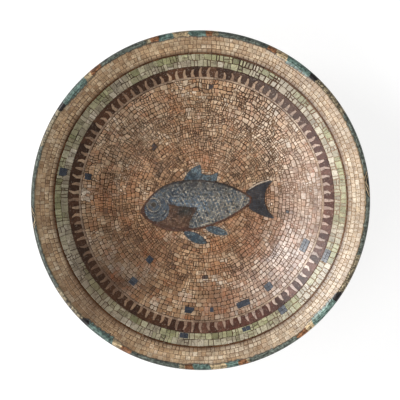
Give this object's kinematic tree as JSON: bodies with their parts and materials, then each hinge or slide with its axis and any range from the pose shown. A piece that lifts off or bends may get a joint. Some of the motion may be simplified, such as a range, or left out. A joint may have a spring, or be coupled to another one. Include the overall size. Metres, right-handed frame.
{
  "type": "mosaic-lined footed bowl",
  "caption": "Shallow round footed bowl with a rounded lip, lined with bands of mosaic stones round a fish, to hold food or to show.",
  "frame": {"origin": "on the table, under the middle of the foot ring", "axes": "+Z up along the bowl's axis; +X to the right and +Y up in the picture's view from above, with the fish's head towards -X"},
  "size_m": [0.22, 0.22, 0.0454],
  "materials": {
    "bare_clay": "matt, unglazed",
    "cream_glaze": "satin glaze",
    "grout": "matt",
    "teal_glaze": "satin glaze",
    "rust_glaze": "satin glaze",
    "dark_glaze": "satin glaze",
    "pale_glaze": "satin glaze",
    "peach_stone": "satin, sealed",
    "dark_stone": "satin, sealed",
    "green_stone": "satin, sealed",
    "brown_stone": "satin, sealed",
    "beige_stone": "satin, sealed",
    "warm_stone": "satin, sealed",
    "blue_stone": "satin, sealed",
    "rust_stone": "satin, sealed",
    "umber_stone": "satin, sealed",
    "scale_stone": "satin, sealed",
    "steel_stone": "satin, sealed",
    "slate_stone": "satin, sealed"
  },
  "bodies": {
    "root": {"clay_body": "bare_clay", "foot_ring": "bare_clay", "outer_glaze": "cream_glaze", "recess_glaze": "cream_glaze", "setting_bed": "grout", "lip_teal": "teal_glaze", "lip_rust": "rust_glaze", "lip_dark": "dark_glaze", "lip_pale": "pale_glaze", "border_row_1": "peach_stone", "border_row_2": "peach_stone", "border_row_3": "peach_stone", "border_row_4": "peach_stone", "dark_line": "dark_stone", "green_row_1": "green_stone", "green_row_2": "green_stone", "dentil_band": "brown_stone", "dentil_teeth": "beige_stone", "pale_line": "beige_stone", "field": "warm_stone", "accent_stones": "blue_stone", "fish_outline": "rust_stone", "fish_belly": "umber_stone", "fish_flank": "scale_stone", "fish_head": "steel_stone", "fish_eye": "scale_stone", "fish_pupil": "slate_stone", "fish_dorsal_fin": "steel_stone", "fish_pelvic_fin": "steel_stone", "fish_anal_fin": "steel_stone", "fish_tail": "slate_stone", "fish_tail_edge": "beige_stone"}
  },
  "joints": []
}
